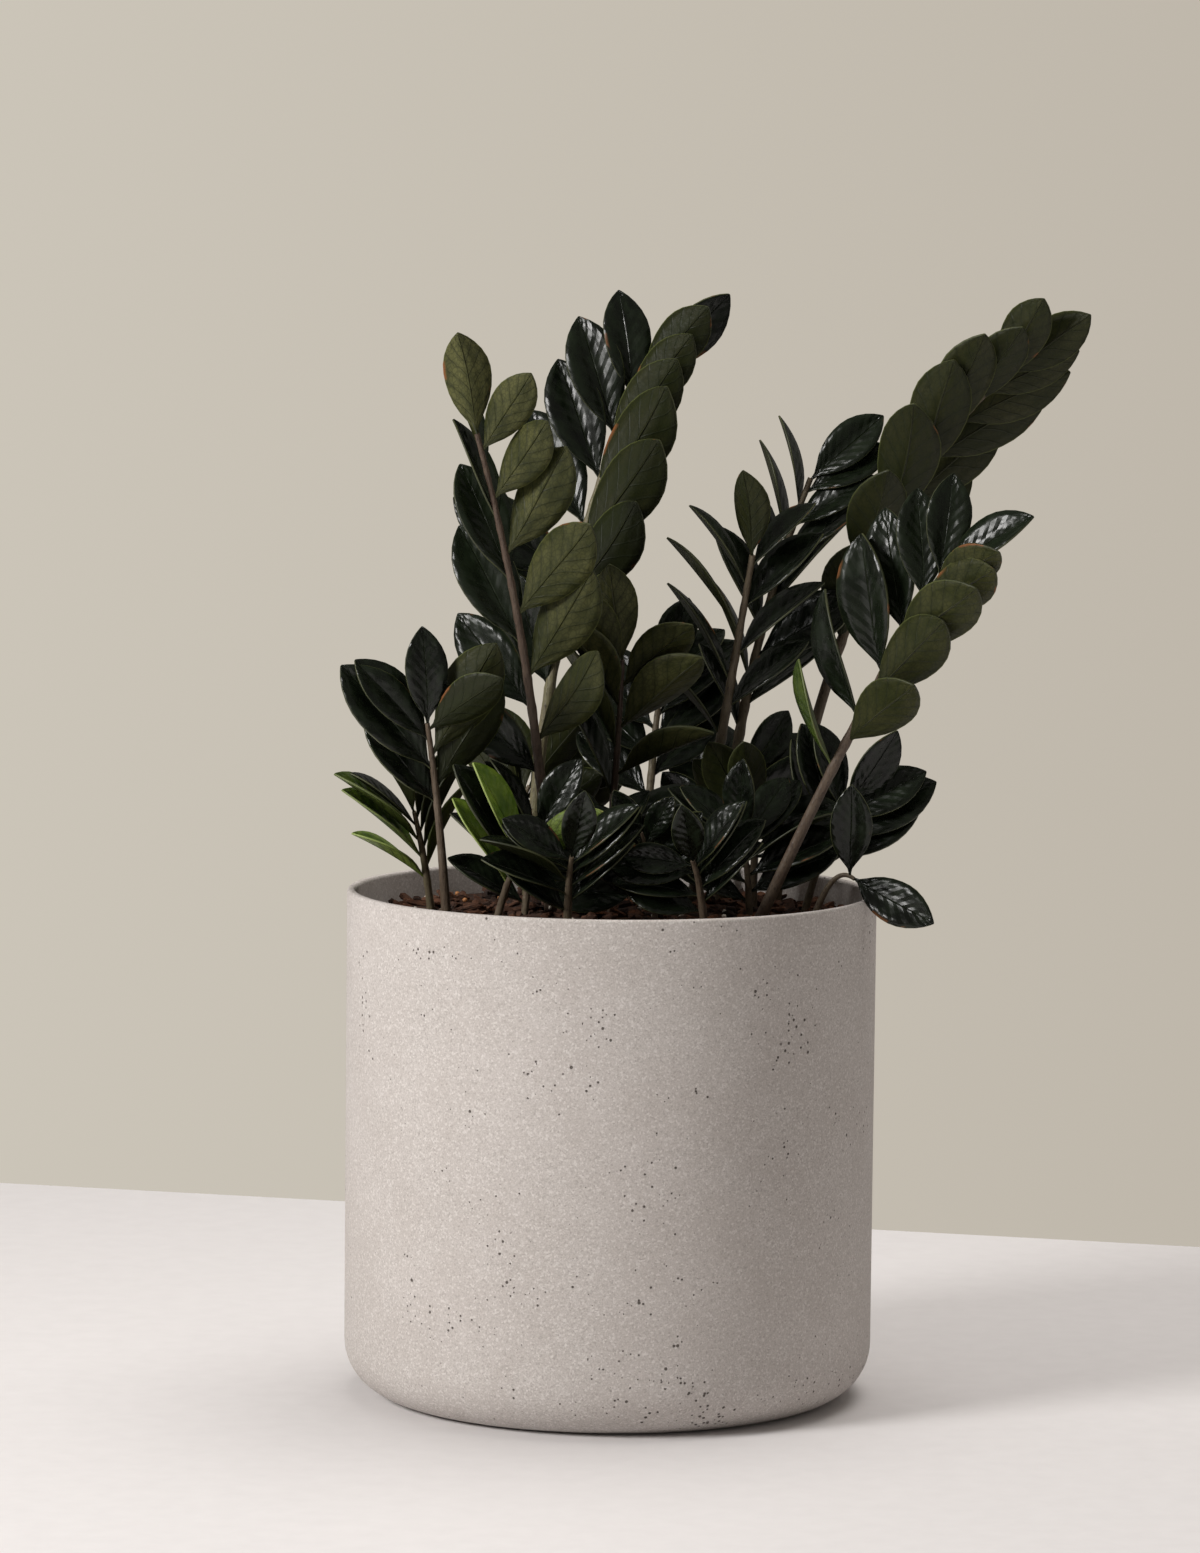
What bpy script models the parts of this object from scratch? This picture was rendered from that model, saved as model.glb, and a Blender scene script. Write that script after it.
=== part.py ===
"""A potted zz plant: a round planter, its potting mix and a clump of compound leaves.

Units are metres and +Z is up. The origin is the centre of the planter's flat underside.
Each zz "stem" is one compound leaf, a fleshy stalk with two ranks of leaflets grown on it,
so each one is a single solid: a swept stalk joined with its lofted leaflets.
"""

import math
import random
from collections import namedtuple

import bmesh
import bpy
from mathutils import Matrix, Vector
from mathutils.bvhtree import BVHTree

# Driving dimensions
POT_DIAMETER = 0.320
POT_HEIGHT = 0.307
WALL = 0.0055
FLOOR = 0.012
CORNER_RADIUS = 0.033       # outside, between the side and the underside
LIP_RADIUS = 0.002
SOIL_DROP = 0.018           # from the rim down to the mix at the wall
SOIL_RISE = 0.004           # how much higher the mix is in the middle
GAP = 0.0003                # between pieces that touch in life
ROOTING = 0.030             # how deep a stalk goes into the mix
PLANT_RISE = 0.370          # from the rim up to about the highest leaflet
LEAFLET_LENGTH = 0.075
LEAFLET_WIDTH = 0.43        # as a share of its length
STALK_DIAMETER = 0.0076     # at the soil; it tapers towards its end
CLEARANCE = 0.0006          # least air between a leaflet and its neighbours
TURN_STEPS = 48             # facets round the planter and the mix

# Heights in the table are millimetres above the rim of a planter of these sizes.
TABLE_DIAMETER = 0.320
TABLE_RISE = 0.370

# One row for each compound leaf. foot is where it leaves the mix, bend pulls its stalk
# sideways and end is where the stalk stops. bare is the share of the stalk in the open
# that has no leaflets, and size scales them. The two ranks of leaflets take turns up the
# stalk: each leaflet leans "spread" degrees from it towards the heading "out", with its
# upper side to the heading "face", from the lowest leaflet's value to the highest one's.
# last gives the same three for the leaflet at the end. Headings are degrees round the
# planter: 0 is its right, 90 its back, 180 its left and -90 its front.
Leaf = namedtuple("Leaf", "name foot bend end thick count bare size first second last")
Rank = namedtuple("Rank", "spread out face")

LEAVES = (
    Leaf("compound_leaf_01", (-36, 5), (-41, -15, 120), (-83, -45, 276), 1.0, 13, 0.27, 1.04,
         Rank((28, 14), (165, 100), (-120, 0)), Rank((42, 36), (-25, -15), (62, 78)), (8, 0, 92)),
    Leaf("compound_leaf_02", (-8, 48), (2, 34, 50), (5, 16, 138), 0.85, 9, 0.30, 1.0,
         Rank((62, 34), (-20, -30), (168, 90)), Rank((30, 24), (180, 200), (-30, 75)), (8, 180, 84)),
    Leaf("compound_leaf_03", (-52, 70), (-49, 80, 170), (18, 90, 312), 1.15, 15, 0.34, 1.12,
         Rank((30, 26), (180, 170), (-100, -75)), Rank((28, 22), (-45, -55), (65, 85)), (20, 0, -60)),
    Leaf("compound_leaf_04", (75, -30), (148, -55, 126), (193, -95, 201), 1.05, 12, 0.34, 1.02,
         Rank((46, 36), (170, 130), (-170, -85)), Rank((20, 30), (-60, -50), (80, 96)), (24, 0, -160)),
    Leaf("compound_leaf_05", (96, 85), (136, 90, 222), (238, 62, 312), 1.1, 14, 0.36, 1.08,
         Rank((24, 22), (-120, -150), (80, 95)), Rank((26, 24), (40, 20), (100, 95)), (8, 0, 90)),
    Leaf("compound_leaf_06", (44, 40), (66, 40, 88), (83, 20, 202), 1.15, 9, 0.45, 0.92,
         Rank((44, 40), (175, 170), (-8, -12)), Rank((40, 35), (0, 20), (-165, -150)), (14, 180, 80)),
    Leaf("compound_leaf_07", (65, 70), (70, 80, 115), (120, 90, 246), 1.1, 13, 0.36, 0.95,
         Rank((30, 30), (180, 170), (-14, -24)), Rank((32, 36), (-10, -20), (-168, -160)), (24, 0, -110)),
    Leaf("compound_leaf_08", (-97, -35), (-102, -42, 45), (-111, -50, 104), 0.9, 7, 0.52, 1.0,
         Rank((32, 30), (180, 180), (-40, -75)), Rank((36, 34), (0, -20), (85, 92)), (6, 0, -85)),
    Leaf("compound_leaf_09", (113, -20), (128, -30, 26), (145, -40, 12), 0.7, 3, 0.88, 0.92,
         Rank((100, 100), (-30, -30), (-80, -80)), Rank((70, 70), (0, 0), (-80, -80)), (4, -60, -80)),
    Leaf("compound_leaf_10", (-74, -55), (-66, -62, 14), (-50, -75, 34), 0.8, 8, 0.35, 0.9,
         Rank((50, 45), (180, 180), (-14, -30)), Rank((40, 36), (0, 0), (-168, -160)), (30, 0, 100)),
    Leaf("compound_leaf_11", (-107, 30), (-112, 20, 11), (-120, 0, 46), 0.8, 10, 0.20, 0.85,
         Rank((40, 20), (190, 180), (16, 10)), Rank((36, 30), (30, 20), (164, 168)), (10, 180, 30)),
    Leaf("compound_leaf_12", (112, 40), (124, 30, 20), (142, 20, 52), 0.8, 9, 0.25, 0.9,
         Rank((40, 36), (150, 170), (-60, -40)), Rank((35, 35), (0, 0), (-150, -130)), (8, 0, -80)),
    Leaf("compound_leaf_13", (86, 32), (86, 30, 20), (88, 20, 44), 0.85, 8, 0.30, 0.85,
         Rank((34, 26), (170, 180), (75, 80)), Rank((60, 52), (0, 0), (-135, -130)), (12, 180, 92)),
    Leaf("compound_leaf_14", (27, -34), (26, -42, 16), (17, -52, 40), 0.6, 11, 0.15, 0.55,
         Rank((52, 40), (180, 180), (-75, -80)), Rank((55, 40), (0, -20), (-100, -90)), (10, 180, -80)),
    Leaf("compound_leaf_15", (-26, -75), (-27, -85, 12), (-24, -98, 30), 0.8, 11, 0.10, 0.78,
         Rank((52, 24), (180, 165), (-12, -24)), Rank((46, 24), (0, 15), (-168, -156)), (10, 90, -90)),
    Leaf("compound_leaf_16", (57, -72), (54, -82, 12), (47, -94, 28), 0.8, 11, 0.10, 0.72,
         Rank((52, 28), (185, 170), (-12, -24)), Rank((52, 28), (0, 15), (-168, -156)), (10, 0, -90)),
    Leaf("compound_leaf_17", (18, 95), (23, 110, 69), (30, 125, 118), 0.9, 10, 0.35, 0.95,
         Rank((40, 35), (170, 150), (-70, -70)), Rank((40, 35), (10, 20), (-100, -120)), (10, 0, -90)),
    Leaf("compound_leaf_18", (-70, 105), (-66, 125, 25), (-52, 130, 50), 0.85, 9, 0.30, 0.9,
         Rank((45, 40), (170, 150), (60, 70)), Rank((45, 40), (10, 20), (120, 100)), (10, 0, 90)),
    Leaf("compound_leaf_19", (66, 118), (72, 132, 30), (82, 142, 56), 0.85, 9, 0.30, 0.9,
         Rank((45, 40), (170, 150), (-90, -70)), Rank((45, 40), (10, 20), (-100, -120)), (10, 0, -90)),
    Leaf("compound_leaf_20", (-54, -30), (-52, -32, 16), (-44, -36, 38), 0.7, 12, 0.06, 0.82,
         Rank((58, 24), (190, 165), (-14, -18)), Rank((50, 26), (-10, 15), (-166, -160)), (8, 0, -100)),
    Leaf("compound_leaf_21", (0, 8), (0, 4, 10), (-6, 0, 26), 0.7, 11, 0.06, 0.72,
         Rank((62, 28), (190, 165), (-14, -18)), Rank((58, 28), (-10, 15), (-166, -160)), (8, 180, -100)),
    Leaf("compound_leaf_22", (84, -8), (83, -12, 14), (78, -18, 36), 0.7, 12, 0.06, 0.80,
         Rank((60, 26), (190, 165), (-14, -18)), Rank((54, 26), (-10, 15), (-166, -160)), (8, 0, -100)),
)

random.seed(11)

for old in list(bpy.data.objects):
    bpy.data.objects.remove(old, do_unlink=True)

plant = bpy.data.collections.new("potted_zz_plant")
cutters = bpy.data.collections.new("cutters")
bpy.context.scene.collection.children.link(plant)
bpy.context.scene.collection.children.link(cutters)
cutters.hide_render = True


def painted(name, colour, roughness):
    material = bpy.data.materials.new(name)
    material.use_nodes = True
    shader = material.node_tree.nodes["Principled BSDF"]
    shader.inputs["Base Color"].default_value = (*colour, 1.0)
    shader.inputs["Roughness"].default_value = roughness
    shader.inputs["Metallic"].default_value = 0.0
    return material


def add(name, data, collection, material=None):
    obj = bpy.data.objects.new(name, data)
    collection.objects.link(obj)
    if material:
        obj.data.materials.append(material)
    if collection is cutters:
        obj.hide_render = True
        obj.display_type = "WIRE"
    return obj


def corner(cx, cz, radius, start, stop, steps):
    """Points on a quarter circle, from the angle start to the angle stop, in degrees."""
    points = []
    for i in range(steps + 1):
        a = math.radians(start + (stop - start) * i / steps)
        points.append((cx + radius * math.cos(a), cz + radius * math.sin(a)))
    return points


def turned(name, profile, collection, material):
    """A solid of revolution: the profile's points are (radius, height)."""
    mesh = bpy.data.meshes.new(name)
    mesh.from_pydata([(r, 0.0, z) for r, z in profile],
                     [(i, i + 1) for i in range(len(profile) - 1)], [])
    obj = add(name, mesh, collection, material)
    screw = obj.modifiers.new("turn", "SCREW")
    screw.axis = "Z"
    screw.angle = math.tau
    screw.steps = TURN_STEPS
    screw.render_steps = TURN_STEPS
    screw.use_merge_vertices = True
    screw.merge_threshold = 0.00005
    screw.use_normal_calculate = True
    return obj


def as_mesh(obj):
    """The object's shape after its modifiers or its bevel, as an object with a welded mesh."""
    bpy.context.view_layer.update()
    evaluated = obj.evaluated_get(bpy.context.evaluated_depsgraph_get())
    mesh = bpy.data.meshes.new_from_object(evaluated)
    mesh.name = obj.name
    bm = bmesh.new()
    bm.from_mesh(mesh)
    bmesh.ops.remove_doubles(bm, verts=bm.verts, dist=0.00001)
    bmesh.ops.recalc_face_normals(bm, faces=bm.faces)
    bm.to_mesh(mesh)
    bm.free()
    place = obj.matrix_world.copy()
    name = obj.name
    collection = obj.users_collection[0]
    bpy.data.objects.remove(obj, do_unlink=True)
    solid = add(name, mesh, collection)
    solid.matrix_world = place
    return solid


def boolean(obj, operation, other):
    modifier = obj.modifiers.new(operation.lower(), "BOOLEAN")
    modifier.operation = operation
    modifier.object = other
    modifier.solver = "EXACT"


# Planter: a thick-walled cylinder with a rounded lip and a rounded bottom corner.
outer = POT_DIAMETER / 2
inner = outer - WALL
inner_corner = CORNER_RADIUS - WALL
planter = turned(
    "planter",
    [(0.0, FLOOR)]
    + corner(inner - inner_corner, FLOOR + inner_corner, inner_corner, -90, 0, 5)
    + corner(inner + LIP_RADIUS, POT_HEIGHT - LIP_RADIUS, LIP_RADIUS, 180, 90, 2)
    + corner(outer - LIP_RADIUS, POT_HEIGHT - LIP_RADIUS, LIP_RADIUS, 90, 0, 2)
    + corner(outer - CORNER_RADIUS, CORNER_RADIUS, CORNER_RADIUS, 0, -90, 7)
    + [(0.0, 0.0)],
    plant,
    painted("planter_stone", (0.48, 0.43, 0.40), 0.85),
)

# Potting mix: it fills the planter and is heaped a little in the middle.
soil_top = POT_HEIGHT - SOIL_DROP
fill = inner - GAP


def mix_height(radius):
    return soil_top + SOIL_RISE * (1 - (radius / fill) ** 2)


soil = turned(
    "potting_mix",
    [(fill * share, mix_height(fill * share)) for share in (0, 0.2, 0.4, 0.6, 0.8, 0.95, 1)]
    + corner(inner - inner_corner, FLOOR + inner_corner, inner_corner - GAP, 0, -90, 5)
    + [(0.0, FLOOR + GAP)],
    plant,
    painted("potting_mix_brown", (0.10, 0.055, 0.035), 0.95),
)
soil = as_mesh(soil)
for vertex in soil.data.vertices:
    radius = math.hypot(vertex.co.x, vertex.co.y)
    if vertex.co.z > soil_top - 0.001 and radius < fill * 0.97:
        vertex.co.z += random.uniform(-0.0016, 0.0016)

# Stalks: swept along a bent line, from inside the mix to the last leaflet.
across = POT_DIAMETER / TABLE_DIAMETER / 1000
upward = PLANT_RISE / TABLE_RISE / 1000


def in_room(point):
    return Vector((point[0] * across, point[1] * across, POT_HEIGHT + point[2] * upward))


class Route:
    """The middle line of one stalk, from its foot to its end."""

    def __init__(self, leaf):
        foot = Vector((leaf.foot[0] * across, leaf.foot[1] * across, 0))
        foot.z = mix_height(foot.length) - ROOTING
        self.points = (foot, in_room(leaf.bend), in_room(leaf.end))
        self.radius = STALK_DIAMETER * leaf.thick / 2

    def at(self, share):
        a, b, c = self.points
        return a * (1 - share) ** 2 + b * 2 * share * (1 - share) + c * share**2

    def along(self, share):
        a, b, c = self.points
        return ((b - a) * (1 - share) + (c - b) * share).normalized()

    def thickness(self, share):
        return self.radius * (1 - 0.62 * share)

    def surfacing(self):
        """The share of the stalk at which it is clear of the mix."""
        share = 0.0
        while self.at(share).z < mix_height(0) + 0.004:
            share += 0.01
        return share


def swept(name, route, grow, collection):
    """A stalk as a curve with a round bevel; grow makes it larger all over for cutting."""
    curve = bpy.data.curves.new(name, "CURVE")
    curve.dimensions = "3D"
    curve.bevel_depth = 1.0
    curve.bevel_resolution = 1
    curve.use_fill_caps = True
    spline = curve.splines.new("POLY")
    steps = 10
    spline.points.add(steps)
    for i, point in enumerate(spline.points):
        share = i / steps
        place = route.at(share)
        if i == 0:
            place = place - route.along(0) * grow
        point.co = (*place, 1.0)
        point.radius = route.thickness(share) + grow
    return as_mesh(add(name, curve, collection))


routes = {leaf.name: Route(leaf) for leaf in LEAVES}
stalks = {}
taken = []      # (name, search tree, lowest corner, highest corner) of everything in place


def take(name, points, faces):
    low = Vector([min(p[i] for p in points) for i in range(3)])
    high = Vector([max(p[i] for p in points) for i in range(3)])
    taken.append((name, BVHTree.FromPolygons(points, faces), low, high))


for leaf in LEAVES:
    stalk = swept(leaf.name, routes[leaf.name], 0.0, plant)
    stalks[leaf.name] = stalk
    for polygon in stalk.data.polygons:
        if len(polygon.vertices) == 4:
            take(leaf.name, [stalk.data.vertices[i].co.copy() for i in polygon.vertices],
                 [(0, 1, 2, 3)])
    hole = swept(leaf.name + "_hole", routes[leaf.name], GAP, cutters)
    boolean(soil, "DIFFERENCE", hole)

# The planter keeps its Screw modifier, so a turned copy of it stands in for the search.
planter_shape = as_mesh(turned("planter_shape", [(v.co.x, v.co.z) for v in planter.data.vertices],
                               cutters, None))
for piece in (planter_shape, soil):
    take(piece.name, [v.co.copy() for v in piece.data.vertices],
         [list(p.vertices) for p in piece.data.polygons])


# Leaflet: a pointed oval blade, folded up a little along its midrib and arched down
# towards its tip. Each station is (share of the length, share of the full half width).
STATIONS = ((0.0, 0.05), (0.09, 0.10), (0.30, 0.72), (0.58, 1.0), (0.84, 0.72), (1.0, 0.03))
FOLD = 0.20                 # how far the edges rise, as a share of the half width
ARCH = 0.10                 # how far the tip drops, as a share of the length
RIB = 0.0019                # thickness at the midrib


def blade(length, extra):
    """Rings of four corners along a leaflet that points along +Y with its upper side up."""
    half = length * LEAFLET_WIDTH / 2
    rings = []
    for share, wide in STATIONS:
        y = length * share
        rise = length * ARCH * (0.35 * share - share**2)
        x = max(half * wide, 0.0007) + extra
        rib = RIB / 2 * (1.0 - 0.45 * share) + extra
        edge = rise + FOLD * half * wide
        y += extra * (1 if share > 0.5 else -1) * (share in (0.0, 1.0))
        rings.append([(x, y, edge), (0.0, y, rise + rib), (-x, y, edge), (0.0, y, rise - rib)])
    return rings


def loft(rings):
    """Corners and faces of a closed skin through the rings, with a face over each end."""
    corners = [Vector(p) for ring in rings for p in ring]
    n = len(rings[0])
    faces = []
    for r in range(len(rings) - 1):
        for i in range(n):
            j = (i + 1) % n
            faces.append((r * n + i, r * n + j, (r + 1) * n + j, (r + 1) * n + i))
    faces.append(tuple(range(n - 1, -1, -1)))
    faces.append(tuple(range(len(corners) - n, len(corners))))
    return corners, faces


def heading(degrees):
    return Vector((math.cos(math.radians(degrees)), math.sin(math.radians(degrees)), 0))


def upright(vector, axis):
    """The part of the vector that is square to the axis."""
    return (vector - axis * vector.dot(axis)).normalized()


def frame(base, along, spread, out, face):
    """Where a leaflet goes: its root at base, leaning from the stalk towards out."""
    lean = math.radians(spread)
    pointing = along * math.cos(lean) + upright(heading(out), along) * math.sin(lean)
    upper = upright(heading(face), pointing)
    side = pointing.cross(upper)
    turn = Matrix((side, pointing, upper)).transposed().to_4x4()
    return Matrix.Translation(base) @ turn


# Small turns that a leaflet tries, nearest first, until nothing is in its way.
TRIES = [(0, 0, 0, 1.0)]
for scale in (1.0, 0.86, 0.72):
    for step in (8, 16, 26, 38):
        TRIES += [(step, 0, 0, scale), (-step, 0, 0, scale), (0, step, 0, scale),
                  (0, -step, 0, scale), (0, 0, step, scale), (0, 0, -step, scale),
                  (step, step, step, scale), (-step, -step, -step, scale),
                  (step, -step, step, scale), (-step, step, -step, scale)]


def grow_leaflet(owner, place, along, length, spread, out, face):
    """Adds one leaflet where there is room for it, or returns nothing."""
    for lean, swing, twist, scale in TRIES:
        where = frame(place, along, max(spread + lean, 0), out + swing, face + swing + twist)
        corners, faces = loft(blade(length * scale, CLEARANCE))
        corners = [where @ p for p in corners]
        low = Vector([min(p[i] for p in corners) for i in range(3)])
        high = Vector([max(p[i] for p in corners) for i in range(3)])
        grown = BVHTree.FromPolygons(corners, faces)
        blocked = False
        for name, other, other_low, other_high in taken:
            if name == owner and (other_low + other_high - place * 2).length < 0.040:
                continue
            if any(low[i] > other_high[i] or high[i] < other_low[i] for i in range(3)):
                continue
            if grown.overlap(other):
                blocked = True
                break
        if not blocked:
            corners, faces = loft(blade(length * scale, 0.0))
            corners = [where @ p for p in corners]
            take(owner + "_leaflet", corners, faces)
            return corners, faces
    return None


def leaflet_places(leaf):
    """(share of the stalk, spread, out, face, size) for each leaflet, highest first."""
    places = []
    open_from = routes[leaf.name].surfacing()
    bare = open_from + (1 - open_from) * leaf.bare
    ranked = leaf.count - 1
    for i in range(ranked):
        mix = i / max(ranked - 1, 1)
        share = bare + (0.965 - bare) * (1 - (1 - mix) ** 1.12)
        rank = leaf.second if i % 2 else leaf.first
        between = [low + (high - low) * mix for low, high in rank]
        size = 0.88 + 0.22 * math.sin(math.pi * min(mix * 1.15, 1.0)) - 0.06 * mix
        places.append((share, *between, size))
    places.append((1.0, *leaf.last, 0.84))
    return places[::-1]


def leaf_on(leaf):
    """The leaflets of one compound leaf, joined to its stalk."""
    route = routes[leaf.name]
    corners, faces = [], []
    for share, spread, out, face, size in leaflet_places(leaf):
        length = LEAFLET_LENGTH * leaf.size * size * random.uniform(0.95, 1.05)
        along = route.along(share)
        root = route.at(share) - along * (0.002 if share == 1.0 else 0.0)
        grown = grow_leaflet(leaf.name, root, along, length, spread + random.uniform(-4, 4),
                             out + random.uniform(-7, 7), face + random.uniform(-9, 9))
        if grown:
            faces += [tuple(i + len(corners) for i in f) for f in grown[1]]
            corners += grown[0]
    mesh = bpy.data.meshes.new(leaf.name + "_leaflets")
    mesh.from_pydata(corners, [], faces)
    leaflets = add(mesh.name, mesh, cutters)
    boolean(stalks[leaf.name], "UNION", leaflets)
    return len(faces) // (4 * len(STATIONS) - 2)


grown_count = 0
for leaf in LEAVES:
    green = painted(leaf.name + "_green", (0.018, 0.030, 0.014), 0.35)
    stalks[leaf.name].data.materials.append(green)
    here = leaf_on(leaf)
    print(leaf.name, "has", here, "of", leaf.count, "leaflets")
    grown_count += here
print("leaflets grown:", grown_count, "of", sum(leaf.count for leaf in LEAVES))
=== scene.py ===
# %% [markdown]
# # A potted zz plant
# A zz plant has no woody stem: every tall "stem" is one compound leaf, a fleshy stalk with
# two ranks of glossy leaflets. This one has twenty-two of them, in a round cast-stone planter
# filled with bark mix. The shapes below are made as by hand, piece by piece, around a frame
# that says where everything is, in metres, with the planter's underside at the origin.

# %% Load the frame
import itertools
import math
import random

import bmesh
import bpy
from mathutils import Matrix, Vector
from mathutils.kdtree import KDTree


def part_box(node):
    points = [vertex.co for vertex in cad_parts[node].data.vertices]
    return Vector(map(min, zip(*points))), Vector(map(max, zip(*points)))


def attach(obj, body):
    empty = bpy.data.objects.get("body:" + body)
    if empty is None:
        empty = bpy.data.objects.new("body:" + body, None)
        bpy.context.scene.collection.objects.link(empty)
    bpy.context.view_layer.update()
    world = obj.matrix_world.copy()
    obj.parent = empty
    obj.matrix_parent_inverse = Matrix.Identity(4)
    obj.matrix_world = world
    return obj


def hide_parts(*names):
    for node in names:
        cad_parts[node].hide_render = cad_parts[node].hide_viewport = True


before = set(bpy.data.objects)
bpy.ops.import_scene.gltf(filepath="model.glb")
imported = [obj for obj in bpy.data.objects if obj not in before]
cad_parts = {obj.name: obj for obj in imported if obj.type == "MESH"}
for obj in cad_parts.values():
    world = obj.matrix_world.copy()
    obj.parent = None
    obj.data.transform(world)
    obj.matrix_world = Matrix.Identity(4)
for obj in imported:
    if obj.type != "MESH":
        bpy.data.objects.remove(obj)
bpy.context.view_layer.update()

random.seed(7)

# %% [markdown]
# ## The viewpoint
# A plant portrait is taken from far away with a long lens, so that the near and far leaves
# keep their true sizes. The camera looks down a little, so a sliver of the mix can be seen.

# %% Camera
bpy.ops.object.camera_add()
camera = bpy.context.object
camera.name = "viewpoint"
camera.data.lens = 137.1
camera.data.sensor_width = 36.0
camera.matrix_world = (
    Matrix.Translation((-0.0079, -3.555, 0.709))
    @ Matrix.Rotation(math.radians(90 - 5.36), 4, "X")
    @ Matrix.Rotation(math.radians(0.59), 4, "Z")
)
bpy.context.scene.camera = camera
bpy.context.scene.view_settings.view_transform = "Standard"
print("camera stands", round(-camera.location.y, 2), "m in front of the planter")

# %% [markdown]
# ## Small helpers
# An operator acts on everything that is selected, so each step first selects one object
# alone, and then, inside edit mode, only the corners, edges or faces that pass a test.


# %% Selecting
def only(obj):
    """Selects this object alone, and makes it the active one."""
    bpy.ops.object.select_all(action="DESELECT")
    obj.select_set(True)
    bpy.context.view_layer.objects.active = obj
    return obj


def choose(obj, kind, test):
    """In edit mode, selects just the verts, edges or faces that pass the test, and counts them."""
    mode = {"verts": "VERT", "edges": "EDGE", "faces": "FACE"}[kind]
    bpy.ops.mesh.select_mode(type=mode)
    bpy.ops.mesh.select_all(action="DESELECT")
    shape = bmesh.from_edit_mesh(obj.data)
    found = [part for part in getattr(shape, kind) if test(part)]
    for part in found:
        part.select_set(True)
    shape.select_flush_mode()
    bmesh.update_edit_mesh(obj.data)
    return len(found)


print("selected alone:", only(camera).name)

# %% [markdown]
# ## Finish helpers
# Every finish is a small net of nodes. These helpers add one node each, and wire a socket
# or set a value, so that a recipe below reads from top to bottom like a list of layers.


# %% Building finishes
def new_finish(name, **skin):
    """A material, its node tree and its shader, with the shader's plain values set."""
    finish = bpy.data.materials.new(name)
    finish.use_nodes = True
    tree = finish.node_tree
    shader = tree.nodes["Principled BSDF"]
    for socket, value in skin.items():
        shader.inputs[socket.replace("_", " ")].default_value = value
    return finish, tree, shader


def put(tree, kind, sockets, **settings):
    """Adds a node. A socket is given a value, or another node's output to be wired to."""
    node = tree.nodes.new(kind)
    for key, value in settings.items():
        setattr(node, key, value)
    for key, value in sockets.items():
        if isinstance(value, bpy.types.NodeSocket):
            tree.links.new(value, node.inputs[key])
        else:
            node.inputs[key].default_value = value
    return node


def sums(tree, operation, *values):
    """The result of one Math node."""
    sockets = dict(enumerate(values))
    return put(tree, "ShaderNodeMath", sockets, operation=operation).outputs[0]


def noise(tree, place, scale, detail=3.0, rough=0.55):
    """A cloudy pattern, finer where the scale is higher."""
    sockets = {"Vector": place, "Scale": scale, "Detail": detail, "Roughness": rough}
    return put(tree, "ShaderNodeTexNoise", sockets).outputs[0]


def between(tree, value, low, high, to_low=0.0, to_high=1.0):
    """Turns low to high into to_low to to_high, and clamps what lies outside."""
    sockets = {0: value, 1: low, 2: high, 3: to_low, 4: to_high}
    return put(tree, "ShaderNodeMapRange", sockets).outputs[0]


def mixed(tree, share, first, second):
    """The first colour where share is 0, the second where it is 1."""
    sockets = {0: share, 6: first, 7: second}
    return put(tree, "ShaderNodeMix", sockets, data_type="RGBA").outputs[2]


def relief(tree, shader, height, distance):
    """Lets a height pattern tilt the light on the surface, as if it were so many metres deep."""
    bump = put(tree, "ShaderNodeBump", {"Height": height, "Distance": distance, "Strength": 1.0})
    tree.links.new(bump.outputs[0], shader.inputs["Normal"])


def own_place(tree, stretch=(1, 1, 1)):
    """The place on the piece in metres. A stretch below 1 draws a pattern out that way."""
    place = tree.nodes.new("ShaderNodeTexCoord").outputs["Object"]
    sockets = {"Vector": place, "Scale": stretch}
    return put(tree, "ShaderNodeMapping", sockets).outputs[0]


print("finishes before the first is made:", len(bpy.data.materials))


# %% [markdown]
# ## The planter
# The planter is a thick-walled cast drum with a soft bottom corner and a thin rounded lip.
# It could be spun from a profile. Starting from a cylinder is quicker: the top face is inset
# by the wall's thickness, pushed down to the floor, and the edges are bevelled.

# %% Planter shape
_, planter_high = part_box("planter")
RADIUS = planter_high.x
HEIGHT = planter_high.z
WALL = 0.0055
FLOOR = 0.012

bpy.ops.mesh.primitive_cylinder_add(vertices=144, radius=RADIUS, depth=HEIGHT, location=(0, 0, HEIGHT / 2))
planter = only(bpy.context.object)
planter.name = "planter_shell"
bpy.ops.object.transform_apply(location=True)
bpy.ops.object.mode_set(mode="EDIT")
choose(planter, "faces", lambda f: f.normal.z > 0.9)
bpy.ops.mesh.inset(thickness=WALL)
bpy.ops.mesh.extrude_region_move(TRANSFORM_OT_translate={"value": (0, 0, FLOOR - HEIGHT)})
print("planter is", round(2 * RADIUS * 1000), "mm across and", round(HEIGHT * 1000), "mm high")


# %% Rounded edges
HAIR = 1e-4             # closer than this is the same place


def ring_at(height, radius):
    """A test that only the edges of the ring at this height and radius pass."""
    def on_ring(edge):
        return all(abs(v.co.z - height) < HAIR and abs(v.co.xy.length - radius) < HAIR for v in edge.verts)
    return on_ring


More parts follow.
